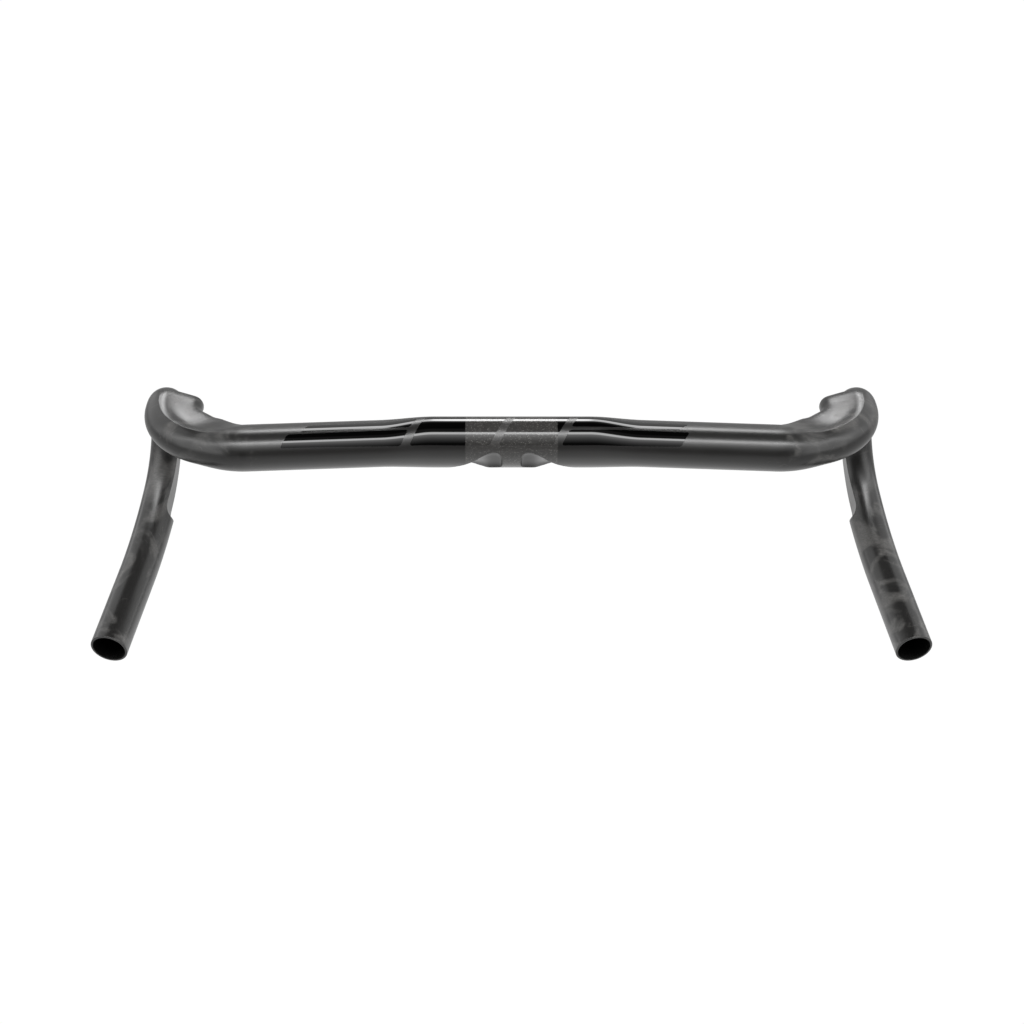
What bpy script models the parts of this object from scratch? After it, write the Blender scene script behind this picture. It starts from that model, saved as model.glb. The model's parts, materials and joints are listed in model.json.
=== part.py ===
"""Drop handlebar for a road or gravel bicycle.

A bonded carbon bar in three tubes: a top section with a 31.8 mm stem clamp
zone and two cable exits, and two drops that each carry the bend, the short
ramp, the hook and the drop.  A splice sleeve inside each end of the top
section joins it to its drop.

Frame: origin at the centre of the stem clamp zone, +X to the rider's right,
+Y forward, +Z up.  Lengths below are in millimetres and angles in degrees;
the mesh is written in metres.
"""
import math

import bpy
import numpy as np

MM = 0.001

# ------------------------------------------------------- driving dimensions
CLAMP_D = 31.8            # stem clamp diameter
CLAMP_HALF = 48.0         # half length of the straight clamp zone
TAPER_END = 82.0          # where the tops reach their own oval
TOP_NOSE_R = 12.6         # tops, radius of the oval's front and rear noses
TOP_NOSE_OUT = 6.5        # each nose centre, from the tube axis
TOP_CROWN = 0.2           # crown of the oval's long sides, share of the above
TOP_TILT = -18.0          # the oval leans down towards the front
CONTROL_D = 23.8          # ramp, hook and drop diameter, standard for levers
WALL = 1.7                # laminate thickness
JOINT_GAP = 0.4           # glue gap at the butt faces
BOND_GAP = 0.45           # glue gap around a sleeve

SWEEP_START = 55.0        # tops start to sweep back here
BACKSWEEP = 3.7           # degrees
BEND_START = 171.5        # bend starts this far from the centre
BEND_R = 47.0
RAMP_SLOPE = 3.0
RAMP_LENGTH = 1.0
HOOK_R1 = 30.7            # front of the hook, down to vertical
HOOK_R2, HOOK_A2 = 50.0, 51.0
HOOK_R3, HOOK_A3 = 148.0, 24.5
TAIL_LENGTH = 58.5        # straight grip at the end of the drop
FLARE = 4.2               # drops lean out, degrees
OUTSWEEP = 10.0           # drops turn out towards the rear, degrees

ROUND_FROM, ROUND_TO = 165.0, 195.0     # tops oval blends to round
FAIRING_FROM, FAIRING_TO = 140.0, 196.0  # inner side of the bend fills out
FAIRING_REACH = 20.8      # fairing nose centre, inward of the tube axis
FAIRING_REACH_END = 17.6  # the same at the mouth
FAIRING_DRAW_FROM, FAIRING_DRAW_TO = 215.0, 245.0
FAIRING_LIFT = 0.5
FAIRING_NOSE_R = 7.0
RIDGE = (-2.0, 11.8)      # crest line along the ramp, across and up
RIDGE_FROM, RIDGE_TO = 205.0, 240.0
FAIRING_PAST_HOOK = 7.0   # fairing mouth, past the start of the hook
MOUTH_LENGTH = 2.5

FLAT_DEPTH = 7.1          # recess face, from the tube axis
FLAT_LENGTH = 99.5        # recess face, past the start of the hook
FLAT_RUN_OUT = 9.0        # rounded step at the end of the recess

JOINT_AT = 150.0          # butt joint, along the tube axis
SLEEVE_STATIONS = (134.0, 150.0, 158.0, 164.0)
SLEEVE_WALL = 1.6

PORT_D = 9.0              # cable port in the fairing mouth
PORT_ACROSS, PORT_UP = 16.0, 0.4
RIM_CHAMFER = 0.4

# cable exit scoop, one row per control station: distance from the centre,
# first and last edge angle and floor depth below the chord.  Angles run down
# and under from the rear-facing side of the clamp zone, level being zero.
SCOOP = [
    (5.9, 10.0, 36.0, 0.5),
    (6.6, 1.5, 45.0, 0.9),
    (8.2, -4.0, 50.0, 1.2),
    (10.9, -6.7, 54.0, 1.4),
    (14.0, -4.5, 61.0, 1.5),
    (18.0, 3.5, 77.0, 1.6),
    (24.2, 20.4, 92.0, 2.0),
    (30.0, 34.0, 96.0, 2.2),
    (35.0, 45.0, 93.0, 1.8),
    (41.0, 62.0, 82.0, 0.6),
]
SCOOP_FLOOR_POINTS = 6
SCOOP_BETWEEN = 2         # stations drawn for each gap between control ones
EXIT_D = 7.0
EXIT_FROM = (24.0, 62.0, 13.2)   # distance out, angle, radius of the axis
EXIT_TO = (44.0, 62.0, 4.0)

# angles of the lengthwise edges of every tube, from the inward side over the
# top; they fall on the recess corners and on the ramp crest
EDGES = [0, 18, 36, 54, 72, 90, 100, 116, 132, 148, 164, 180, 196, 212, 228,
         244, 258, 270, 288, 306, 324, 342]
TABLE_STEP = 0.5
NORMALS = np.radians(np.arange(0.0, 360.0, 2.0))


# ------------------------------------------------------------- tube geometry
def ease(start, stop, value):
    t = min(max((value - start) / (stop - start), 0.0), 1.0)
    return t * t * (3.0 - 2.0 * t)


def trace_axis():
    """Points along the axis of the right half and the marked distances."""
    points = [(0.0, 0.0, 0.0)]
    x = y = z = 0.0
    back = math.radians(BACKSWEEP)
    slope = math.radians(RAMP_SLOPE)

    count = int(BEND_START / TABLE_STEP)
    step = BEND_START / count
    for i in range(count):
        turned = ease(SWEEP_START - 8.0, SWEEP_START + 8.0, (i + 0.5) * step)
        x += step
        y -= step * math.tan(back * turned)
        points.append((x, y, z))

    turn = math.radians(90.0) + back
    count = int(BEND_R * turn / TABLE_STEP)
    for i in range(count):
        heading = -back + turn * (i + 0.5) / count
        step = BEND_R * turn / count
        x += step * math.cos(heading)
        y += step * math.sin(heading)
        z -= step * math.tan(slope * (i + 0.5) / count)
        points.append((x, y, z))
    bend_end = len(points) - 1

    y += RAMP_LENGTH * math.cos(slope)
    z -= RAMP_LENGTH * math.sin(slope)
    points.append((x, y, z))
    hook_start = len(points) - 1

    heading = slope
    lean = math.tan(math.radians(FLARE))
    turn_out = math.tan(math.radians(OUTSWEEP))
    for radius, angle in ((HOOK_R1, 90.0 - RAMP_SLOPE), (HOOK_R2, HOOK_A2),
                          (HOOK_R3, HOOK_A3), (None, 0.0)):
        length = TAIL_LENGTH if radius is None else radius * math.radians(angle)
        count = int(length / TABLE_STEP)
        for i in range(count):
            half = math.radians(angle) / count / 2.0
            heading += half
            forward = length / count * math.cos(heading)
            down = length / count * math.sin(heading)
            heading += half
            y += forward
            z -= down
            x += down * lean + max(0.0, -forward) * turn_out
            points.append((x, y, z))
    points = np.array(points)
    gaps = np.linalg.norm(np.diff(points, axis=0), axis=1)
    along = np.concatenate([[0.0], np.cumsum(gaps)])
    return points, along, along[bend_end], along[hook_start]


AXIS, ALONG, BEND_END, HOOK_START = trace_axis()
TANGENT = np.gradient(AXIS, ALONG, axis=0)
TANGENT[0] = (1.0, 0.0, 0.0)
LENGTH = ALONG[-1]
MOUTH_AT = HOOK_START + FAIRING_PAST_HOOK
FLAT_END = HOOK_START + FLAT_LENGTH


def frame_at(s):
    """Axis point, inward direction, upward direction and tangent at s."""
    point = np.array([np.interp(s, ALONG, AXIS[:, k]) for k in range(3)])
    tangent = np.array([np.interp(s, ALONG, TANGENT[:, k]) for k in range(3)])
    tangent /= np.linalg.norm(tangent)
    if s <= BEND_END:
        inward = np.cross((0.0, 0.0, 1.0), tangent)
    else:
        inward = np.array((-1.0, 0.0, 0.0))
        inward -= np.dot(inward, tangent) * tangent
    inward /= np.linalg.norm(inward)
    return point, inward, np.cross(tangent, inward), tangent


def section_radii(s, angles, inset):
    """Radius of the section at s for each angle, offset inwards by inset."""
    across, up = np.cos(NORMALS), np.sin(NORMALS)
    w = ease(CLAMP_HALF, TAPER_END, s)
    lean = np.cos(NORMALS - math.radians(TOP_TILT))
    oval = TOP_NOSE_R + TOP_NOSE_OUT * np.sqrt(TOP_CROWN ** 2 + lean ** 2)
    reach = CLAMP_D / 2.0 * (1.0 - w) + oval * w
    radius = CONTROL_D / 2.0

    w = ease(ROUND_FROM, ROUND_TO, s)
    reach = reach * (1.0 - w) + radius * w
    grow = ease(FAIRING_FROM, FAIRING_TO, s)
    if grow > 0.0:
        draw = ease(FAIRING_DRAW_FROM, FAIRING_DRAW_TO, s)
        centre = grow * FAIRING_REACH + draw * (FAIRING_REACH_END - FAIRING_REACH)
        nose = 11.0 * (1.0 - grow) + FAIRING_NOSE_R * grow
        reach = np.maximum(reach, centre * across
                           + grow * FAIRING_LIFT * up + nose)
    crest = ease(RIDGE_FROM, RIDGE_TO, s)
    if crest > 0.0:
        reach = np.maximum(reach, crest * (RIDGE[0] * across + RIDGE[1] * up))

    closed = (s - (MOUTH_AT - inset)) / MOUTH_LENGTH
    closed = min(max(closed, 0.0), 1.0)
    reach = reach * (1.0 - closed) + radius * closed - inset

    facing = np.cos(angles[:, None] - NORMALS[None, :])
    stretch = np.where(facing > 0.02, 1.0 / np.maximum(facing, 0.02), np.inf)
    radii = np.min(reach[None, :] * stretch, axis=1)

    if closed > 0.0:
        run = min(max((s - FLAT_END - inset) / FLAT_RUN_OUT, 0.0), 1.0)
        rise = 1.0 - math.sqrt(1.0 - run * run)
        face = FLAT_DEPTH - inset + (radius - FLAT_DEPTH + 0.3) * rise
        face = face * closed + 40.0 * (1.0 - closed)
        inner_side = np.cos(angles)
        limit = np.where(inner_side > 0.05,
                         face / np.maximum(inner_side, 0.05), np.inf)
        radii = np.minimum(radii, limit)
    return radii


def ring(s, inset=0.0, mirrored=False):
    """One closed ring of points around the tube at distance s."""
    angles = np.radians(np.array(EDGES, dtype=float))
    point, inward, upward, _ = frame_at(abs(s))
    radii = section_radii(abs(s), angles, inset)
    out = (point + radii[:, None] * (np.cos(angles)[:, None] * inward
                                     + np.sin(angles)[:, None] * upward))
    if mirrored or s < 0.0:
        out[:, 0] *= -1.0
    return out


def flipped(face):
    """The same face seen from behind, split along the same diagonal."""
    return face[:1] + face[:0:-1]


def tube_mesh(outer, inner, reverse=False):
    """Closed shell from matching lists of outer and inner rings."""
    n = len(outer[0])
    verts = [p * MM for r in outer for p in r]
    first_inner = len(verts)
    verts += [p * MM for r in inner for p in r]
    faces = []

    def band(a, b, flip):
        for j in range(n):
            k = (j + 1) % n
            quad = (a + j, a + k, b + k, b + j)
            faces.append(flipped(quad) if flip else quad)

    for i in range(len(outer) - 1):
        band(i * n, (i + 1) * n, False)
    for i in range(len(inner) - 1):
        band(first_inner + i * n, first_inner + (i + 1) * n, True)
    band(0, first_inner, True)
    band((len(outer) - 1) * n, first_inner + (len(inner) - 1) * n, False)
    if reverse:
        faces = [flipped(f) for f in faces]
    return verts, faces


# ------------------------------------------------------------ scene plumbing
def new_collection(name):
    collection = bpy.data.collections.new(name)
    bpy.context.scene.collection.children.link(collection)
    return collection


def new_object(name, verts, faces, collection):
    mesh = bpy.data.meshes.new(name)
    mesh.from_pydata([tuple(v) for v in verts], [], faces)
    mesh.validate()
    obj = bpy.data.objects.new(name, mesh)
    collection.objects.link(obj)
    return obj


def new_material(name, colour, roughness):
    material = bpy.data.materials.new(name)
    material.use_nodes = True
    shader = material.node_tree.nodes["Principled BSDF"]
    shader.inputs["Base Color"].default_value = (*colour, 1.0)
    shader.inputs["Roughness"].default_value = roughness
    return material


def new_cutter(name, verts, faces):
    cutter = new_object(name, verts, faces, CUTTERS)
    cutter.hide_render = True
    cutter.display_type = 'WIRE'
    return cutter


def combine(obj, tool, operation):
    modifier = obj.modifiers.new(tool.name, 'BOOLEAN')
    modifier.operation = operation
    modifier.solver = 'EXACT'
    modifier.object = tool


def rod(name, start, stop, diameter, sides=16):
    """Straight round cutter between two points."""
    start, stop = np.array(start), np.array(stop)
    axis = (stop - start) / np.linalg.norm(stop - start)
    side = np.cross(axis, (0.0, 0.0, 1.0))
    side /= np.linalg.norm(side)
    other = np.cross(axis, side)
    turn = [2.0 * math.pi * k / sides for k in range(sides)]
    circle = [diameter / 2.0 * (math.cos(t) * side + math.sin(t) * other)
              for t in turn]
    verts = [(start + c) * MM for c in circle] + [(stop + c) * MM for c in circle]
    faces = [(k, (k + 1) % sides, sides + (k + 1) % sides, sides + k)
             for k in range(sides)]
    faces += [tuple(range(sides))[::-1], tuple(range(sides, 2 * sides))]
    return new_cutter(name, verts, faces)


# ------------------------------------------------------------------ subparts
def clamp_point(x, angle, radius):
    """Point beside the clamp axis; angle runs from the rear down and under."""
    a = math.radians(angle)
    return np.array((x, -radius * math.cos(a), -radius * math.sin(a)))


def scoop_stations():
    """Control stations with smooth ones drawn between them."""
    rows = [np.array(row) for row in SCOOP]
    out = [rows[0]]
    for i in range(len(rows) - 1):
        before, after = rows[max(i - 1, 0)], rows[min(i + 2, len(rows) - 1)]
        a, b = rows[i], rows[i + 1]
        steps = SCOOP_BETWEEN if b[0] - a[0] > 2.0 else 1
        for k in range(1, steps + 1):
            t = k / steps
            out.append(0.5 * (2.0 * a + (b - before) * t
                              + (2.0 * before - 5.0 * a + 4.0 * b - after) * t ** 2
                              + (3.0 * a - before - 3.0 * b + after) * t ** 3))
    return out


def scoop_body(name, side, thicken):
    """Boat-shaped body of a scoop; thicken grows it inwards for its pan."""
    r = CLAMP_D / 2.0
    top = r - 0.45 if thicken else r + 3.0
    sections = []
    stations = scoop_stations()
    for i, (x, first, last, depth) in enumerate(stations):
        spread = math.degrees(thicken / r)
        first, last = first - spread, last + spread
        if thicken and i == 0:
            x -= thicken
        if thicken and i == len(stations) - 1:
            x += thicken
        middle = math.radians((first + last) / 2.0)
        half = math.radians((last - first) / 2.0)
        loop = []
        for k in range(SCOOP_FLOOR_POINTS):
            t = 2.0 * k / (SCOOP_FLOOR_POINTS - 1) - 1.0
            width = r * math.sin(half) * t
            rise = r * math.cos(half) - (depth + thicken) * (1.0 - t ** 4)
            if thicken and k in (0, SCOOP_FLOOR_POINTS - 1):
                rise -= thicken * 0.6
            loop.append((width, rise))
        for k in range(SCOOP_FLOOR_POINTS):
            t = 1.0 - 2.0 * k / (SCOOP_FLOOR_POINTS - 1)
            loop.append((top * math.sin(half * t), top * math.cos(half * t)))
        section = []
        for width, rise in loop:
            angle = middle + math.atan2(width, rise)
            radius = math.hypot(width, rise)
            section.append(clamp_point(side * x, math.degrees(angle), radius))
        sections.append(section)
    n = len(sections[0])
    verts = [p * MM for s in sections for p in s]
    faces = []
    for i in range(len(sections) - 1):
        a, b = i * n, (i + 1) * n
        for j in range(n):
            k = (j + 1) % n
            faces.append((a + j, b + j, b + k, a + k))
    faces.append(tuple(range(n)))
    faces.append(tuple(range((len(sections) - 1) * n, len(sections) * n))[::-1])
    if side < 0:
        faces = [flipped(f) for f in faces]
    return new_cutter(name, verts, faces)


def build_top_section():
    end = JOINT_AT - JOINT_GAP / 2.0
    half = [16.0, 32.0, CLAMP_HALF, 54.0, 60.0, 65.0, 70.0, 76.0, TAPER_END,
            108.0, 134.0, end]
    stations = [-s for s in reversed(half)] + [0.0] + half
    outer = [ring(s) for s in stations]
    inner = [ring(s, WALL) for s in stations]
    obj = new_object("top_section", *tube_mesh(outer, inner), PART)
    obj.data.materials.append(new_material("satin_carbon", (0.03, 0.03, 0.03), 0.42))
    for side, label in ((-1.0, "left"), (1.0, "right")):
        combine(obj, scoop_body(label + "_scoop_pan", side, WALL), 'UNION')
        combine(obj, scoop_body(label + "_scoop_cut", side, 0.0), 'DIFFERENCE')
        x0, a0, r0 = EXIT_FROM
        x1, a1, r1 = EXIT_TO
        combine(obj, rod(label + "_exit_cut", clamp_point(side * x0, a0, r0),
                         clamp_point(side * x1, a1, r1), EXIT_D), 'DIFFERENCE')
    return obj


def spaced(start, stop, step):
    count = max(1, int(round((stop - start) / step)))
    return list(np.linspace(start, stop, count + 1))


def drop_stations():
    start = JOINT_AT + JOINT_GAP / 2.0
    stations = [start, 158.0, 164.0] + spaced(171.0, BEND_END, 7.2)
    stations += spaced(MOUTH_AT - 3.4, MOUTH_AT, 1.7)
    stations += [MOUTH_AT + MOUTH_LENGTH]
    hook_one = HOOK_START + HOOK_R1 * math.radians(90.0 - RAMP_SLOPE)
    hook_two = hook_one + HOOK_R2 * math.radians(HOOK_A2)
    stations += spaced(MOUTH_AT + 7.5, hook_one, 5.0)
    stations += spaced(hook_one + 7.0, hook_two, 7.0)
    stations += spaced(FLAT_END, FLAT_END + FLAT_RUN_OUT, 3.0)
    stations += spaced(FLAT_END + FLAT_RUN_OUT + 12.0, LENGTH - TAIL_LENGTH, 13.0)
    stations += [LENGTH - RIM_CHAMFER]
    return sorted(stations)


def build_drop(side, label):
    mirrored = side < 0
    stations = drop_stations()
    outer = [ring(s, 0.0, mirrored) for s in stations]
    outer.append(ring(LENGTH, RIM_CHAMFER, mirrored))
    inner = [ring(s, WALL, mirrored) for s in stations]
    inner.append(ring(LENGTH, WALL, mirrored))
    obj = new_object(label + "_drop", *tube_mesh(outer, inner, mirrored), PART)
    obj.data.materials.append(
        new_material(label + "_raw_carbon", (0.035, 0.035, 0.035), 0.38))
    point, inward, upward, tangent = frame_at(MOUTH_AT)
    centre = point + PORT_ACROSS * inward + PORT_UP * upward
    start, stop = centre - 9.0 * tangent, centre + 6.0 * tangent
    if mirrored:
        start, stop = start * (-1, 1, 1), stop * (-1, 1, 1)
    combine(obj, rod(label + "_port_cut", start, stop, PORT_D), 'DIFFERENCE')
    return obj


def build_sleeve(side, label):
    mirrored = side < 0
    outer = [ring(s, WALL + BOND_GAP, mirrored) for s in SLEEVE_STATIONS]
    inner = [ring(s, WALL + BOND_GAP + SLEEVE_WALL, mirrored)
             for s in SLEEVE_STATIONS]
    obj = new_object(label + "_joint_sleeve",
                     *tube_mesh(outer, inner, mirrored), PART)
    obj.data.materials.append(
        new_material(label + "_sleeve_carbon", (0.02, 0.02, 0.02), 0.6))
    return obj


for old in list(bpy.data.objects):
    bpy.data.objects.remove(old, do_unlink=True)
PART = new_collection("drop_handlebar")
CUTTERS = new_collection("cutters")

build_top_section()
for SIDE, LABEL in ((-1.0, "left"), (1.0, "right")):
    build_drop(SIDE, LABEL)
    build_sleeve(SIDE, LABEL)
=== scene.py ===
# Drop handlebar: fine surfaces, finishes, light and camera around its CAD model.
import json
import math

import bpy
import numpy as np
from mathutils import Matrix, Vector


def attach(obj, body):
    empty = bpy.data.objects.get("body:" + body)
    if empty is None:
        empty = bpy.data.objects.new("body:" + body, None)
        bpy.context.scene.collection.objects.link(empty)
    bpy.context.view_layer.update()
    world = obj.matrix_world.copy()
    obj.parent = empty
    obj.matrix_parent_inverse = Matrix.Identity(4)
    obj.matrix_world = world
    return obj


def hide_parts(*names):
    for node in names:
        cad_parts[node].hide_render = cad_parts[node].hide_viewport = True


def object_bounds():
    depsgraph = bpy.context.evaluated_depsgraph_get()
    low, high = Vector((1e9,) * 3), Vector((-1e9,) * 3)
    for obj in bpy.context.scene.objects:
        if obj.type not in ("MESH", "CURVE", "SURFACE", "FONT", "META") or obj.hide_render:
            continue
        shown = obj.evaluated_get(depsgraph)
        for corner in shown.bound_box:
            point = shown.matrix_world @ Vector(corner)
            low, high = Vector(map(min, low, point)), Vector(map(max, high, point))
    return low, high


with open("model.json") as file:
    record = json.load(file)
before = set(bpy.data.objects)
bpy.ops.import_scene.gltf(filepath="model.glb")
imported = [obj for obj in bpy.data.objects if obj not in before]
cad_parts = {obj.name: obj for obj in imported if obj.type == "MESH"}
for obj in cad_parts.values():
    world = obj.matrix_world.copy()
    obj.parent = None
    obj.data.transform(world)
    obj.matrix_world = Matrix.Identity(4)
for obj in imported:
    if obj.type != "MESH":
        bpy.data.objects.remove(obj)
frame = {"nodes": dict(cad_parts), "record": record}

CAD_LO, CAD_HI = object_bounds()
MOUNTS = {m["name"]: m for m in frame["record"]["mounts"]}
MM = 0.001
SIDES = ((-1.0, "left"), (1.0, "right"))

# ---------------------------------------------------------------- dimensions
# The tube follows the CAD model's own rules, in millimetres and degrees.  The
# valley, the rounded edges and rims and the closed bond lines depart from them.
CLAMP_R = MOUNTS["stem_clamp"]["dims"]["r_mm"]
CLAMP_HALF, TAPER_END = 48.0, 82.0
TOP_NOSE_R, TOP_NOSE_OUT, TOP_CROWN, TOP_TILT = 12.6, 6.5, 0.2, -18.0
CONTROL_R = MOUNTS["right_lever_clamp"]["dims"]["r_mm"]
WALL = 1.7
SWEEP_START, SWEEP_BLEND, BACKSWEEP = 55.0, 8.0, 3.7
BEND_START, BEND_R = 171.5, 47.0
RAMP_SLOPE, RAMP_LENGTH = 3.0, 1.0
HOOK = ((30.7, 87.0), (50.0, 51.0), (148.0, 24.5))   # radius and turn
TAIL_LENGTH = 58.5
FLARE, OUTSWEEP = 4.2, 10.0
ROUND_FROM, ROUND_TO = 165.0, 195.0
FAIRING_FROM, FAIRING_TO = 140.0, 196.0
FAIRING_REACH, FAIRING_REACH_END = 20.8, 17.6
FAIRING_DRAW_FROM, FAIRING_DRAW_TO = 215.0, 245.0
FAIRING_LIFT, FAIRING_NOSE, FAIRING_NOSE_START = 0.5, 7.0, 11.0
RIDGE, RIDGE_R = (-2.0, 11.2), 0.6
RIDGE_FROM, RIDGE_TO = 205.0, 240.0
# shallow valley between the ramp's crest and the fairing's nose: the degrees of
# its inner edge, floor and outer edge, and its changes in depth (change, from, to)
VALLEY_ACROSS = (3.0, 32.0, 100.0)
VALLEY_STEPS = ((3.0, 174.0, 206.0), (-2.2, 204.0, 246.0), (-0.8, 248.0, 255.5))
MOUTH_PAST_HOOK, MOUTH_LENGTH = 7.0, 2.5
FLAT_DEPTH, FLAT_LENGTH, FLAT_RUN_OUT = 7.1, 99.5, 9.0
JOINT_AT, BOND_LINE = 150.0, 0.004   # each tube stops this far from the joint
RIM_ROUND = 0.4
SOFT_EDGE = 0.10          # rounding of the recess edges
SCOOP_EDGE = 0.22         # rounding of the scoop edges

# cable exit scoops: distance from the centre, first and last edge angle below
# the rear-facing side, and floor depth below the chord
SCOOP = np.array([
    (5.5, 20.0, 26.0, 0.05), (5.9, 10.0, 36.0, 0.5), (6.6, 1.5, 45.0, 0.9),
    (8.2, -4.0, 50.0, 1.2), (10.9, -6.7, 54.0, 1.4), (14.0, -4.5, 61.0, 1.5),
    (18.0, 3.5, 77.0, 1.6), (24.2, 20.4, 92.0, 2.0), (30.0, 34.0, 96.0, 2.2),
    (35.0, 45.0, 93.0, 1.8), (41.0, 62.0, 82.0, 0.6), (42.0, 70.0, 74.0, 0.05)])

GRIT_HALF = 28.5          # half width of the textured clamp band
SHARP_ANGLE = 32.0        # faces that meet at more than this keep a sharp edge
NORMALS = np.radians(np.arange(0.0, 360.0, 0.25))
ACROSS, UPWARD = np.cos(NORMALS), np.sin(NORMALS)


# ------------------------------------------------------------ tube geometry
def ease(start, stop, value):
    t = min(max((value - start) / (stop - start), 0.0), 1.0)
    return t * t * (3.0 - 2.0 * t)


def soft_min(a, b, k=SOFT_EDGE):
    """The smaller of two lengths, with the corner between them rounded."""
    gap = np.clip(np.abs(a - b) / k, 0.0, 30.0)
    return np.minimum(a, b) - k * np.log1p(np.exp(-gap))


def trace_axis(table_step=0.25):
    """Points along the axis of the right half and two marked distances."""
    points = [(0.0, 0.0, 0.0)]
    x = y = z = 0.0
    back, slope = math.radians(BACKSWEEP), math.radians(RAMP_SLOPE)
    count = int(BEND_START / table_step)
    step = BEND_START / count
    for i in range(count):
        turned = ease(SWEEP_START - SWEEP_BLEND, SWEEP_START + SWEEP_BLEND,
                      (i + 0.5) * step)
        x += step
        y -= step * math.tan(back * turned)
        points.append((x, y, z))
    turn = math.radians(90.0) + back
    count = int(BEND_R * turn / table_step)
    step = BEND_R * turn / count
    for i in range(count):
        share = (i + 0.5) / count
        x += step * math.cos(turn * share - back)
        y += step * math.sin(turn * share - back)
        z -= step * math.tan(slope * share)
        points.append((x, y, z))
    bend_end = len(points) - 1
    y += RAMP_LENGTH * math.cos(slope)
    z -= RAMP_LENGTH * math.sin(slope)
    points.append((x, y, z))
    hook_start = len(points) - 1
    heading = slope
    lean, turn_out = (math.tan(math.radians(a)) for a in (FLARE, OUTSWEEP))
    for radius, angle in HOOK + ((None, 0.0),):
        length = TAIL_LENGTH if radius is None else radius * math.radians(angle)
        count = int(length / table_step)
        for i in range(count):
            half = math.radians(angle) / count / 2.0
            heading += half
            forward = length / count * math.cos(heading)
            down = length / count * math.sin(heading)
            heading += half
            y += forward
            z -= down
            x += down * lean + max(0.0, -forward) * turn_out
            points.append((x, y, z))
    points = np.array(points)
    gaps = np.linalg.norm(np.diff(points, axis=0), axis=1)
    along = np.concatenate([[0.0], np.cumsum(gaps)])
    return points, along, along[bend_end], along[hook_start]


AXIS, ALONG, BEND_END, HOOK_START = trace_axis()
TANGENT = np.gradient(AXIS, ALONG, axis=0)
TANGENT[0] = (1.0, 0.0, 0.0)
LENGTH = ALONG[-1]
MOUTH_AT = HOOK_START + MOUTH_PAST_HOOK
FLAT_END = HOOK_START + FLAT_LENGTH


def frame_at(s):
    """Axis point, inward and upward directions at distance s."""
    point = np.array([np.interp(s, ALONG, AXIS[:, k]) for k in range(3)])
    tangent = np.array([np.interp(s, ALONG, TANGENT[:, k]) for k in range(3)])
    tangent /= np.linalg.norm(tangent)
    if s <= BEND_END:
        inward = np.cross((0.0, 0.0, 1.0), tangent)
    else:
        inward = np.array((-1.0, 0.0, 0.0))
        inward -= np.dot(inward, tangent) * tangent
    inward /= np.linalg.norm(inward)
    return point, inward, np.cross(tangent, inward)


def reach_at(s, inset):
    """Distance of the section's tangent line for each of NORMALS."""
    w = ease(CLAMP_HALF, TAPER_END, s)
    lean = np.cos(NORMALS - math.radians(TOP_TILT))
    oval = TOP_NOSE_R + TOP_NOSE_OUT * np.sqrt(TOP_CROWN ** 2 + lean ** 2)
    reach = CLAMP_R * (1.0 - w) + oval * w
    w = ease(ROUND_FROM, ROUND_TO, s)
    reach = reach * (1.0 - w) + CONTROL_R * w
    grow = ease(FAIRING_FROM, FAIRING_TO, s)
    if grow > 0.0:
        draw = ease(FAIRING_DRAW_FROM, FAIRING_DRAW_TO, s)
        centre = grow * FAIRING_REACH + draw * (FAIRING_REACH_END - FAIRING_REACH)
        nose = FAIRING_NOSE_START * (1.0 - grow) + FAIRING_NOSE * grow
        reach = np.maximum(reach, centre * ACROSS
                           + grow * FAIRING_LIFT * UPWARD + nose)
    crest = ease(RIDGE_FROM, RIDGE_TO, s)
    if crest > 0.0:
        point = RIDGE[0] * ACROSS + RIDGE[1] * UPWARD + RIDGE_R
        reach = np.maximum(reach, crest * point)
    closed = ease(0.0, MOUTH_LENGTH, s - MOUTH_AT + inset)
    return reach * (1.0 - closed) + CONTROL_R * closed - inset, closed


def scoop_at(x, angles, inset):
    """Radius of the scoop floor at distance x, infinite beside it."""
    if inset:
        x = min(max(x, SCOOP[0, 0]), SCOOP[-1, 0])
    if not SCOOP[0, 0] <= x <= SCOOP[-1, 0]:
        return np.full(len(angles), np.inf)
    i = min(int(np.searchsorted(SCOOP[:, 0], x, side="right")) - 1, len(SCOOP) - 2)
    a, b = SCOOP[i], SCOOP[i + 1]
    before, after = SCOOP[max(i - 1, 0)], SCOOP[min(i + 2, len(SCOOP) - 1)]
    t = (x - a[0]) / (b[0] - a[0])
    into = (b - before) / (b[0] - before[0])
    out = (after - a) / (after[0] - a[0])
    gap = b[0] - a[0]
    first, last, depth = ((2 * t ** 3 - 3 * t ** 2 + 1) * a
                          + (t ** 3 - 2 * t ** 2 + t) * gap * into
                          + (3 * t ** 2 - 2 * t ** 3) * b
                          + (t ** 3 - t ** 2) * gap * out)[1:]
    middle, half = (first + last) / 2.0, math.radians((last - first) / 2.0)
    t = np.linspace(-1.0, 1.0, 161)
    width = CLAMP_R * math.sin(half) * t
    rise = CLAMP_R * math.cos(half) - max(depth, 0.0) * (1.0 - t ** 4)
    seen = 180.0 + middle + np.degrees(np.arctan2(width, rise))
    return np.interp(np.degrees(angles), seen, np.hypot(width, rise),
                     left=np.inf, right=np.inf) - inset


def stretch_for(angles):
    facing = np.cos(angles[:, None] - NORMALS[None, :])
    return np.where(facing > 0.05, 1.0 / np.maximum(facing, 0.05), np.inf)


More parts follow.
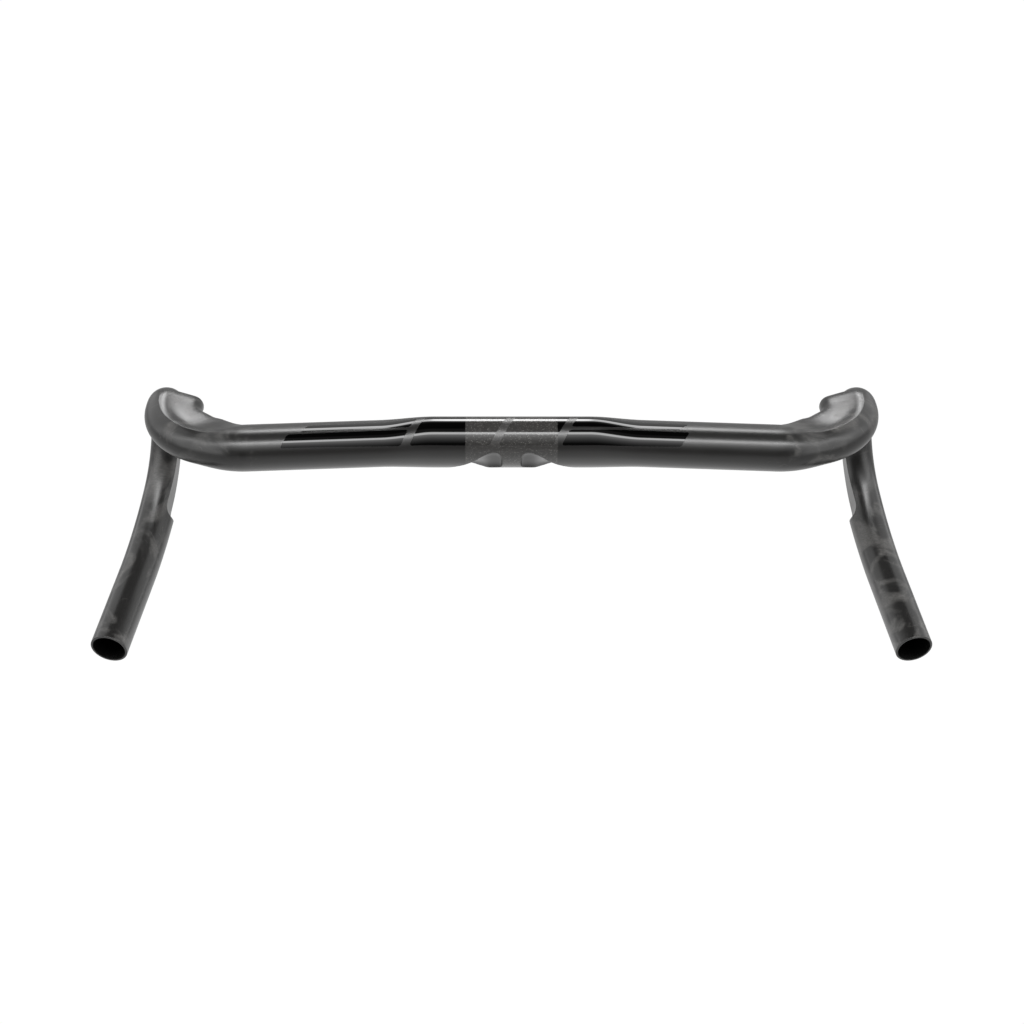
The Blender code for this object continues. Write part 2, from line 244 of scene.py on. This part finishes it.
def radii_at(s, inset, angles, stretch):
    """Radius of the section at s for each angle, offset inwards by inset."""
    reach, closed = reach_at(s, inset)
    radii = np.min(reach[None, :] * stretch, axis=1)
    off = np.interp(np.degrees(angles), VALLEY_ACROSS, (-1.0, 0.0, 1.0))
    valley = sum(step * ease(start, stop, s) for step, start, stop in VALLEY_STEPS)
    radii = radii - valley * np.where(off > 0.0, 1.0 - off ** 2,
                                      np.cos(off * math.pi / 2.0) ** 2)
    if closed > 0.0:
        run = min(max((s - FLAT_END - inset) / FLAT_RUN_OUT, 0.0), 1.0)
        rise = 1.0 - math.sqrt(1.0 - run * run)
        face = FLAT_DEPTH - inset + (CONTROL_R - FLAT_DEPTH + 0.5) * rise
        face = face * closed + 40.0 * (1.0 - closed)
        inner = np.cos(angles)
        limit = np.where(inner > 0.05, face / np.maximum(inner, 0.05), 99.0)
        radii = soft_min(radii, limit)
    if s < CLAMP_HALF:
        floor = scoop_at(s, angles, inset)
        radii = np.where(np.isfinite(floor),
                         soft_min(radii, np.minimum(floor, 99.0), SCOOP_EDGE),
                         radii)
    return radii


def spaced(start, stop, step):
    count = max(1, int(round((stop - start) / step)))
    return list(np.linspace(start, stop, count + 1))


def angle_set(step, *fine):
    """Angles all round at one step, with finer runs of (from, to, step)."""
    coarse = [a for a in np.arange(0.0, 360.0, step)
              if not any(lo - step / 2 < a < hi + step / 2 for lo, hi, _ in fine)]
    return np.radians(sorted(coarse + [a for f in fine for a in spaced(*f)]))


def shell_rings(pairs, angles, mirrored=False):
    """One ring of points for each (distance, inset) pair."""
    stretch = stretch_for(angles)
    rings = []
    for s, inset in pairs:
        point, inward, upward = frame_at(abs(s))
        radii = radii_at(abs(s), inset, angles, stretch)
        ring = point + radii[:, None] * (np.cos(angles)[:, None] * inward
                                         + np.sin(angles)[:, None] * upward)
        if mirrored or s < 0.0:
            ring[:, 0] *= -1.0
        rings.append(ring)
    return np.array(rings)


# -------------------------------------------------------------- mesh helpers
def new_object(name, verts, faces):
    mesh = bpy.data.meshes.new(name)
    mesh.from_pydata([tuple(v) for v in verts], [], [tuple(f) for f in faces])
    mesh.validate()
    mesh.shade_smooth()
    mesh.set_sharp_from_angle(angle=math.radians(SHARP_ANGLE))
    obj = bpy.data.objects.new(name, mesh)
    bpy.context.scene.collection.objects.link(obj)
    return obj


def grid_faces(rows, columns, wrap_rows, wrap_columns, reverse=False):
    """Quads over a grid of points that may close on itself either way."""
    r = np.arange(rows if wrap_rows else rows - 1)
    c = np.arange(columns if wrap_columns else columns - 1)
    r, c = (a.ravel() for a in np.meshgrid(r, c, indexing="ij"))
    r2, c2 = (r + 1) % rows, (c + 1) % columns
    faces = np.stack([r * columns + c, r * columns + c2,
                      r2 * columns + c2, r2 * columns + c], axis=1)
    return faces[:, ::-1] if reverse else faces


def shell_object(name, pairs, angles, materials, mirrored=False):
    """Closed tube wall: the rings run along the outside and back inside.

    The outside takes the first material and the bore the second.
    """
    rings = shell_rings(pairs, angles, mirrored)
    faces = grid_faces(len(pairs), len(angles), True, True, mirrored)
    obj = new_object(name, rings.reshape(-1, 3) * MM, faces.tolist())
    for material in materials:
        obj.data.materials.append(material)
    insets = np.array([inset for _, inset in pairs])
    bore = np.repeat(insets > WALL / 2.0, len(angles)).astype(np.int32)
    obj.data.polygons.foreach_set("material_index", bore)
    return obj


def rod(name, start, stop, radius, sides=72):
    start, stop = np.array(start), np.array(stop)
    axis = (stop - start) / np.linalg.norm(stop - start)
    side = np.cross(axis, (0.0, 0.0, 1.0))
    side /= np.linalg.norm(side)
    other = np.cross(axis, side)
    turn = np.arange(sides) * 2.0 * math.pi / sides
    circle = radius * (np.cos(turn)[:, None] * side + np.sin(turn)[:, None] * other)
    verts = np.concatenate([start + circle, stop + circle])
    faces = [(k, (k + 1) % sides, sides + (k + 1) % sides, sides + k)
             for k in range(sides)]
    faces += [tuple(range(sides))[::-1], tuple(range(sides, 2 * sides))]
    return new_object(name, verts, faces)


def drill(obj, mount, outside, inside):
    """Cuts the round hole that a mount of the record names."""
    pos, axis = (np.array(MOUNTS[mount][k]) for k in ("pos_m", "axis"))
    radius = MOUNTS[mount]["dims"]["r_mm"] * MM
    cutter = rod(mount + "_cut", pos - axis * inside * MM,
                 pos + axis * outside * MM, radius)
    modifier = obj.modifiers.new(mount, 'BOOLEAN')
    modifier.operation, modifier.solver = 'DIFFERENCE', 'EXACT'
    modifier.object = cutter
    evaluated = obj.evaluated_get(bpy.context.evaluated_depsgraph_get())
    mesh = bpy.data.meshes.new_from_object(evaluated)
    obj.modifiers.clear()
    obj.data = mesh
    mesh.set_sharp_from_angle(angle=math.radians(SHARP_ANGLE))
    bpy.data.objects.remove(cutter, do_unlink=True)


# ---------------------------------------------------------------- node graphs
class Graph:
    """Small helper that builds the node graph of a material or a world."""

    def __init__(self, owner):
        owner.use_nodes = True
        self.tree = owner.node_tree
        self.shader = self.tree.nodes.get("Principled BSDF")

    def node(self, kind, settings=None, **inputs):
        node = self.tree.nodes.new(kind)
        for key, value in (settings or {}).items():
            setattr(node, key, value)
        for key, value in inputs.items():
            self.put(node.inputs[key.replace("_", " ")], value)
        return node

    def put(self, socket, value):
        if isinstance(value, bpy.types.NodeSocket):
            self.tree.links.new(value, socket)
        else:
            socket.default_value = value

    def math(self, operation, a, b=None, c=None):
        node = self.tree.nodes.new('ShaderNodeMath')
        node.operation = operation
        for socket, value in zip(node.inputs, (a, b, c)):
            if value is not None:
                self.put(socket, value)
        return node.outputs[0]

    def blend(self, share, a, b):
        """a where share is 0 and b where it is 1."""
        node = self.tree.nodes.new('ShaderNodeMix')
        self.put(node.inputs[0], share)
        self.put(node.inputs[2], a)
        self.put(node.inputs[3], b)
        return node.outputs[0]

    def ramp(self, value, low, high):
        """0 below low, 1 above high, smooth between them."""
        node = self.node('ShaderNodeMapRange',
                         {"interpolation_type": 'SMOOTHSTEP', "clamp": True},
                         Value=value, From_Min=low, From_Max=high)
        return node.outputs[0]

    def place(self, kind="Object"):
        """The point that is shaded, or the direction that is looked along."""
        if not hasattr(self, "coordinates"):
            self.coordinates = self.tree.nodes.new('ShaderNodeTexCoord')
        return self.coordinates.outputs[kind]

    def curve(self, value, stops):
        """Value looked up in a table of (position from 0 to 1, level)."""
        node = self.node('ShaderNodeValToRGB', Fac=value)
        ramp = node.color_ramp
        ramp.interpolation = 'LINEAR'
        for _ in stops[2:]:
            ramp.elements.new(0.5)
        peak = max(level for _, level in stops)
        for element, (position, level) in zip(ramp.elements, stops):
            element.position = position
            element.color = (level / peak,) * 3 + (1.0,)
        return self.math('MULTIPLY', node.outputs[0], peak)

    def noise(self, scale, detail=2.0, distortion=0.0, stretch=None, offset=None,
              roughness=0.5):
        place = self.place()
        if stretch or offset:
            place = self.node('ShaderNodeMapping', Vector=place,
                              Scale=stretch or (1, 1, 1),
                              Location=offset or (0, 0, 0)).outputs[0]
        return self.node('ShaderNodeTexNoise', Vector=place, Scale=scale,
                         Detail=detail, Distortion=distortion,
                         Roughness=roughness).outputs[0]

    def grey(self, value, warmth=(1.03, 1.0, 0.96)):
        parts = [self.math('MULTIPLY', value, w) for w in warmth]
        return self.node('ShaderNodeCombineColor', Red=parts[0], Green=parts[1],
                         Blue=parts[2]).outputs[0]

    def bump(self, height, distance_mm, strength=1.0, normal=None):
        node = self.node('ShaderNodeBump', Height=height,
                         Distance=distance_mm * MM, Strength=strength)
        if normal is not None:
            self.put(node.inputs["Normal"], normal)
        return node.outputs[0]

    def set(self, **sockets):
        for key, value in sockets.items():
            self.put(self.shader.inputs[key.replace("_", " ")], value)

    def seen(self):
        """1 for what the camera sees directly, 0 for reflections and light."""
        return self.node('ShaderNodeLightPath').outputs["Is Camera Ray"]

    def by_ray(self, hidden, shown):
        """The shader shown to the camera, and hidden for every other ray."""
        pick = self.node('ShaderNodeMixShader')
        for socket, value in zip(pick.inputs, (self.seen(), hidden, shown)):
            self.put(socket, value)
        return pick.outputs[0]

    def surface(self, shader):
        """Puts a plain shader in place of the material's own."""
        self.tree.nodes.remove(self.shader)
        self.put(self.tree.nodes["Material Output"].inputs["Surface"], shader)


def new_material(name):
    material = bpy.data.materials.new(name)
    return material, Graph(material)


def grit_mask(g):
    """1 on the textured clamp band, 0 beside it and in the cable scoops."""
    x, y, z = g.node('ShaderNodeSeparateXYZ', Vector=g.place()).outputs
    ragged = g.math('MULTIPLY', g.noise(1500.0, 1.0), 0.6 * MM)
    edge = g.math('ADD', g.math('ABSOLUTE', x), ragged)
    band = g.math('LESS_THAN', edge, (GRIT_HALF + 0.3) * MM)
    radius = g.math('SQRT', g.math('MULTIPLY_ADD', y, y, g.math('MULTIPLY', z, z)))
    return g.math('MULTIPLY', band, g.math(
        'GREATER_THAN', radius, (CLAMP_R - SCOOP_EDGE) * MM))


def grains(g):
    """Nearness to a grain of the textured band, and that grain's own tone."""
    cells = g.node('ShaderNodeTexVoronoi', {"feature": 'F1'},
                   Vector=g.place(), Scale=1500.0)
    near = g.ramp(cells.outputs["Distance"], 0.55, 0.12)
    pick = g.node('ShaderNodeSeparateColor', Color=cells.outputs["Color"])
    return near, pick.outputs[0]


SATIN_IOR = 1.66


def satin(g):
    """Tone and roughness of the satin coat, with its faint unevenness."""
    cloud = g.noise(60.0, 3.0, 0.4)
    return g.blend(cloud, 0.011, 0.016), g.blend(cloud, 0.27, 0.31)


def top_finish(name, gloss):
    """Satin or gloss black outside the clamp band, and grit inside it, whose brightest
    grains carry a painted glint.
    """
    material, g = new_material(name)
    mask = grit_mask(g)
    near, pick = grains(g)
    # painted glint: the brightest grains are lit up in the base colour, on top of each
    # grain's own tone
    painted_glint = g.math('MULTIPLY', near, g.ramp(pick, 0.62, 1.0))
    tone, rough = (0.0006, 0.02) if gloss else satin(g)
    grit_tone_and_glint = g.math('MULTIPLY_ADD', painted_glint, 0.13, g.blend(pick, 0.030, 0.046))
    g.set(Base_Color=g.grey(g.blend(mask, tone, grit_tone_and_glint)),
          Roughness=g.blend(mask, rough, 0.05 if gloss else 0.31),
          IOR=1.5 if gloss else SATIN_IOR)
    peel = g.bump(g.noise(420.0, 2.0), 0.003 if gloss else 0.006)
    relief = g.math('MULTIPLY', mask, g.math('MULTIPLY', near, g.ramp(pick, 0.5, 0.9)))
    g.set(Normal=g.bump(relief, 0.03, 0.2 if gloss else 0.7, peel))
    return material


def raw_carbon(name, seed):
    """Satin clear coat over raw carbon with faint ply edges; the brightness of its marbled
    layup patches is painted fibre sheen.
    """
    material, g = new_material(name)
    shift = (seed * 0.37, seed * 0.23, seed * 0.11)
    tone, rough = satin(g)
    patches = g.ramp(g.noise(34.0, 3.5, 1.8, offset=shift), 0.47, 0.68)
    swirl = g.noise(85.0, 4.0, 2.2, offset=shift)
    fibres = g.noise(300.0, 4.0, 0.6, stretch=(1.0, 3.2, 5.0), offset=shift,
                     roughness=0.6)
    warp = g.math('ABSOLUTE', g.math('SUBTRACT', g.noise(
        26.0, 1.5, 1.1, offset=shift), 0.5))
    hair = g.math('MULTIPLY', g.ramp(warp, 0.008, 0.0), g.ramp(swirl, 0.5, 0.62))
    x = g.node('ShaderNodeSeparateXYZ', Vector=g.place()).outputs[0]
    start = g.math('ADD', g.math('ABSOLUTE', x), g.math(
        'MULTIPLY', g.math('SUBTRACT', swirl, 0.5), 0.05))
    bare = g.ramp(start, 0.160, 0.176)
    # the marbled layup, fibres and swirls are real pattern; their bright patches are
    # painted fibre sheen in the base colour
    marbling_and_sheen = g.math('MULTIPLY', patches, g.blend(g.ramp(fibres, 0.25, 0.75), 0.45, 1.0))
    marbling_and_sheen = g.math('MULTIPLY', marbling_and_sheen, g.blend(swirl, 0.5, 1.3))
    carbon = g.math('MULTIPLY_ADD', hair, 0.03, g.blend(marbling_and_sheen, 0.010, 0.085))
    g.set(Base_Color=g.grey(g.blend(bare, tone, carbon)),
          Roughness=g.blend(bare, rough, g.blend(patches, 0.28, 0.36)),
          IOR=SATIN_IOR)
    relief = g.math('MULTIPLY_ADD', fibres, 0.2, g.math('MULTIPLY', patches, 0.4))
    g.set(Normal=g.bump(g.math('MULTIPLY', relief, bare), 0.03, 0.8))
    return material


def bore_in_painted_shade(name):
    """Dull moulded inside of the tubes, its near-black colour painted shade."""
    material, g = new_material(name)
    wrinkle = g.noise(240.0, 4.0, 0.8)
    # near-black colour: painted shade inside the tube; the wrinkles are the moulding's own
    g.set(Base_Color=g.grey(g.blend(wrinkle, 0.001, 0.003)),
          Roughness=g.blend(wrinkle, 0.55, 0.75), IOR=1.2,
          Normal=g.bump(wrinkle, 0.1))
    return material


def sleeve_carbon(name):
    """Bare laminate of the bonded sleeves, with its weave."""
    material, g = new_material(name)
    weave = g.node('ShaderNodeTexWave', {"wave_type": 'BANDS',
                                         "bands_direction": 'DIAGONAL'},
                   Vector=g.place(), Scale=180.0, Distortion=0.6).outputs[1]
    g.set(Base_Color=g.grey(g.blend(weave, 0.012, 0.032)),
          Roughness=g.blend(weave, 0.5, 0.65), Normal=g.bump(weave, 0.08))
    return material


# ----------------------------------------------------------------- the pieces
def keep(obj, slot, *nodes):
    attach(obj, "root")
    if nodes:
        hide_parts(*nodes)


def top_pairs():
    half = (spaced(0.0, 5.2, 1.3) + spaced(5.4, 8.0, 0.2) + spaced(8.4, 42.4, 0.4)
            + spaced(43.6, CLAMP_HALF, 1.1) + spaced(49.5, JOINT_AT - 2.0, 1.5)
            + [JOINT_AT - BOND_LINE])
    outer = [-s for s in reversed(half[1:])] + half
    half = (spaced(0.0, 44.0, 1.0) + spaced(48.0, JOINT_AT - 2.0, 4.0)
            + [JOINT_AT - BOND_LINE])
    inner = [-s for s in reversed(half[1:])] + half
    return [(s, 0.0) for s in outer] + [(s, WALL) for s in reversed(inner)]


def drop_pairs():
    outer = [JOINT_AT + BOND_LINE] + spaced(151.5, MOUTH_AT - 1.2, 1.5)
    outer += spaced(MOUTH_AT - 0.9, MOUTH_AT + MOUTH_LENGTH + 0.9, 0.2)
    outer += spaced(MOUTH_AT + MOUTH_LENGTH + 2.0, FLAT_END, 1.5)
    outer += [FLAT_END + FLAT_RUN_OUT * math.sin(a)
              for a in np.radians(np.arange(5.0, 91.0, 5.0))]
    outer += spaced(FLAT_END + FLAT_RUN_OUT + 1.5, LENGTH - 1.5, 2.2)
    rim = [(LENGTH - RIM_ROUND * (1.0 - math.sin(a)), RIM_ROUND * (1.0 - math.cos(a)))
           for a in np.radians(np.arange(0.0, 91.0, 15.0))]
    back = [(LENGTH - RIM_ROUND * (1.0 - math.cos(a)),
             WALL - RIM_ROUND * (1.0 - math.sin(a)))
            for a in np.radians(np.arange(0.0, 91.0, 15.0))]
    inner = ([JOINT_AT + BOND_LINE] + spaced(154.0, MOUTH_AT - 4.0, 3.0)
             + spaced(MOUTH_AT - 3.0, MOUTH_AT + 2.0, 0.5)
             + spaced(MOUTH_AT + 5.0, LENGTH - 4.0, 3.0))
    return ([(s, 0.0) for s in outer] + rim + back
            + [(s, WALL) for s in reversed(inner)])


def build_top():
    angles = angle_set(3.0, (166.0, 284.0, 1.0))
    materials = (top_finish("satin_top", False), bore_in_painted_shade("top_bore"))
    obj = shell_object("top_section_shell", top_pairs(), angles, materials)
    for _, label in SIDES:
        drill(obj, label + "_cable_exit", 11.0, 11.0)
    keep(obj, "satin_carbon", "top_section")


def build_drops():
    corner = math.degrees(math.acos(FLAT_DEPTH / CONTROL_R))
    crest = math.degrees(math.atan2(RIDGE[1] + RIDGE_R, RIDGE[0]))
    angles = angle_set(2.5, (corner - 3.0, corner + 3.0, 0.6),
                       (crest - 4.0, crest + 4.0, 1.0),
                       (357.0 - corner, 363.0 - corner, 0.6))
    for side, label in SIDES:
        materials = (raw_carbon(label + "_marbled_and_sheen", 1.0 if side < 0 else 2.3),
                     bore_in_painted_shade(label + "_bore"))
        obj = shell_object(label + "_drop_shell", drop_pairs(), angles, materials,
                           side < 0)
        drill(obj, label + "_cable_port", 6.0, 9.0)
        keep(obj, label + "_raw_carbon", label + "_drop")
        sleeve = frame["nodes"][label + "_joint_sleeve"]
        sleeve.data.materials.clear()
        sleeve.data.materials.append(sleeve_carbon(label + "_sleeve_weave"))


# gloss bars printed on the tops: ends at mid height, and the share of the
# band's height that the bar fills
GLOSS_BARS = [
    (-131.0, -64.0, 0.56, 1.0), (-138.0, -64.0, 0.0, 0.46),
    (-58.5, -8.0, 0.0, 1.0), (-2.5, 31.0, 0.0, 1.0),
    (36.5, 104.0, 0.56, 1.0), (36.5, 111.0, 0.0, 0.46),
]
BAND_AT_CLAMP, BAND_AT_END = (24.0, 104.0), (29.0, 92.0)   # degrees above rear
BAND_END_AT, BAR_LEAN, BAR_CORNER, BAR_STEP = 138.0, 11.0, 1.2, 0.8
BAR_PROUD, BAR_SUNK = 0.04, 0.12
BAND_HEIGHT, BAND_ROWS, EXTRA_ROWS = 20.0, 22, 6


def surface_point(x, degrees, inset):
    angles = np.radians(np.array([180.0 - degrees]))
    point, inward, upward = frame_at(abs(x))
    radius = radii_at(abs(x), inset, angles, stretch_for(angles))[0]
    out = point + radius * (math.cos(angles[0]) * inward
                            + math.sin(angles[0]) * upward)
    return out * (math.copysign(1.0, x), 1.0, 1.0)


def corner_pull(share, height):
    """How far a rounded corner draws the bar's end in, at a share of height."""
    d = min(share, 1.0 - share) * height
    if d >= BAR_CORNER:
        return 0.0
    return BAR_CORNER - math.sqrt(BAR_CORNER ** 2 - (BAR_CORNER - d) ** 2)


def build_gloss_bars():
    finish = top_finish("gloss_black", True)
    for number, (start, stop, low, high) in enumerate(GLOSS_BARS, 1):
        rows = int(BAND_ROWS * (high - low)) + EXTRA_ROWS
        columns = int((stop - start) / BAR_STEP)
        faces_out = []
        for inset in (-BAR_PROUD, BAR_SUNK):
            grid = []
            for v in np.linspace(0.0, 1.0, rows):
                share = low + (high - low) * v
                pull = corner_pull(v, BAND_HEIGHT * (high - low))
                lean = BAR_LEAN * (share - 0.5)
                for x in np.linspace(start + lean + pull, stop + lean - pull, columns):
                    t = ease(GRIT_HALF, BAND_END_AT, abs(x))
                    a, b = (p + (q - p) * t for p, q in zip(BAND_AT_CLAMP, BAND_AT_END))
                    grid.append(surface_point(x, a + (b - a) * share, inset))
            faces_out.append(grid)
        count = rows * columns
        verts = np.array(faces_out[0] + faces_out[1]) * MM
        top = grid_faces(rows, columns, False, False, True)
        rim = ([c for c in range(columns)]
               + [r * columns + columns - 1 for r in range(1, rows)]
               + [(rows - 1) * columns + c for c in range(columns - 2, -1, -1)]
               + [r * columns for r in range(rows - 2, 0, -1)])
        sides = [(rim[k], rim[(k + 1) % len(rim)], rim[(k + 1) % len(rim)] + count,
                  rim[k] + count) for k in range(len(rim))]
        faces = top.tolist() + (top[:, ::-1] + count).tolist() + sides
        obj = new_object(f"gloss_bar_{number}", verts, faces)
        obj.data.materials.append(finish)
        keep(obj, "satin_carbon")


# ------------------------------------------------------- stage, light, camera
FLOOR_GAP, FLOOR_R = 0.06, 6.0
VIEW_RISE, VIEW_DISTANCE = 33.5, 1.5
LENS, SENSOR = 84.6, 36.0
AIM_BELOW = 0.04364       # the view's middle lies this far below the bar's
HALF_PIXEL = 0.5 / 1024.0
WHITE, PALE = (1.0, 1.0, 1.0, 1.0), 1.02
# the floor's glow by the distance from the object's middle, in metres
FLOOR_GLOW = [(0.19, 1.3), (0.24, 1.15), (0.32, 0.75), (0.55, 0.55), (1.0, 0.42)]


def build_floor(low):
    sides = 96
    verts = [(0.0, 0.0, low)]
    verts += [(FLOOR_R * math.cos(2 * math.pi * k / sides),
               FLOOR_R * math.sin(2 * math.pi * k / sides), low)
              for k in range(sides)]
    faces = [(0, 1 + k, 1 + (k + 1) % sides) for k in range(sides)]
    floor = new_object("studio_floor", verts, faces)
    material, g = new_material("pale_floor")
    away = g.node('ShaderNodeVectorMath', {"operation": 'LENGTH'},
                  Vector=g.place()).outputs["Value"]
    lit = g.blend(g.seen(), g.curve(away, FLOOR_GLOW), PALE)
    g.surface(g.node('ShaderNodeEmission', Color=WHITE, Strength=lit).outputs[0])
    floor.data.materials.append(material)


# Radiance of the studio.  Angles run in degrees from the rear horizon over the
# top to the front horizon, and sideways is the direction's own x, 0 to 1.
ROOM = [(0.0, 0.04), (25.0, 0.05), (90.0, 0.16), (97.0, 0.02), (126.0, 0.02),
        (140.0, 0.25), (160.0, 0.45), (180.0, 0.45)]
TOP_BOX = [(26.0, 0.0), (33.0, 0.22), (42.0, 0.6), (51.0, 1.2), (61.0, 2.4),
           (66.0, 3.8), (67.5, 10.0), (75.5, 10.0), (78.0, 0.2), (82.0, 0.0)]
STRIP = [(130.0, 0.0), (136.0, 0.15), (140.5, 0.6), (142.0, 10.6), (155.5, 10.6),
         (158.0, 0.2), (166.0, 0.0)]
TOP_BOX_SIDEWAYS = [(0.0, 1.0), (0.30, 1.0), (0.65, 0.25), (1.0, 0.1)]
STRIP_SIDEWAYS = [(0.0, 1.0), (0.026, 1.0), (0.05, 0.50), (0.13, 0.42),
                  (0.165, 0.15), (0.22, 0.03), (1.0, 0.01)]
ROOM_SIDEWAYS = [(0.0, 1.0), (1.0, 1.0)]
ALL_ROUND = [(0.0, 1.0), (180.0, 1.0)]
SIDE_WALLS = [(0.42, 0.0), (0.56, 0.25), (0.75, 1.2), (0.9, 1.6), (1.0, 0.7)]
# glowing panels outside both hooks, which no camera ray sees
PANEL_X, PANEL_Y, PANEL_Z, PANEL_GLOW = 0.46, (0.08, 0.62), (-0.02, 0.5), 0.9


def build_side_panels():
    corners = [(PANEL_Y[i], PANEL_Z[k]) for i, k in ((0, 0), (1, 0), (1, 1), (0, 1))]
    for side, label in SIDES:
        panel = new_object(label + "_panel",
                           [(side * PANEL_X, y, z) for y, z in corners], [(0, 1, 2, 3)])
        material, g = new_material(label + "_panel_glow")
        glow = g.node('ShaderNodeEmission', Color=WHITE, Strength=PANEL_GLOW)
        clear = g.node('ShaderNodeBsdfTransparent', Color=WHITE)
        g.surface(g.by_ray(glow.outputs[0], clear.outputs[0]))
        panel.data.materials.append(material)


def build_studio():
    world = bpy.data.worlds.new("studio")
    bpy.context.scene.world = world
    world.use_nodes = True
    world.node_tree.nodes.clear()
    g = Graph(world)
    x, y, z = g.node('ShaderNodeSeparateXYZ', Vector=g.place("Generated")).outputs
    angle = g.math('ARCTAN2', z, g.math('MULTIPLY', y, -1.0))
    turn = g.math('DIVIDE', angle, math.pi)
    aside = g.math('ABSOLUTE', x)
    total = None
    for round_over, sideways in ((ROOM, ROOM_SIDEWAYS), (TOP_BOX, TOP_BOX_SIDEWAYS),
                                 (STRIP, STRIP_SIDEWAYS), (ALL_ROUND, SIDE_WALLS)):
        over = g.curve(turn, [(a / 180.0, level) for a, level in round_over])
        part = g.math('MULTIPLY', over, g.curve(aside, sideways))
        total = part if total is None else g.math('ADD', total, part)
    glow = g.node('ShaderNodeBackground', Color=WHITE, Strength=total)
    white = g.node('ShaderNodeBackground', Color=WHITE, Strength=PALE)
    g.node('ShaderNodeOutputWorld',
           Surface=g.by_ray(glow.outputs[0], white.outputs[0]))


def build_camera():
    rise = math.radians(VIEW_RISE)
    centre = Vector(MOUNTS["stem_clamp"]["pos_m"])
    aim = centre - AIM_BELOW * Vector((0.0, math.sin(rise), math.cos(rise)))
    back = Vector((0.0, -math.cos(rise), math.sin(rise)))
    data = bpy.data.cameras.new("camera")
    data.lens, data.sensor_width = LENS, SENSOR
    data.shift_x = HALF_PIXEL
    camera = bpy.data.objects.new("camera", data)
    bpy.context.scene.collection.objects.link(camera)
    camera.location = aim + VIEW_DISTANCE * back
    camera.rotation_mode = 'QUATERNION'
    camera.rotation_quaternion = (-back).to_track_quat('-Z', 'Y')
    bpy.context.scene.camera = camera


build_top()
build_drops()
build_gloss_bars()
build_floor(CAD_LO.z - FLOOR_GAP)
build_side_panels()
build_studio()
build_camera()
bpy.context.scene.view_settings.view_transform = 'Standard'
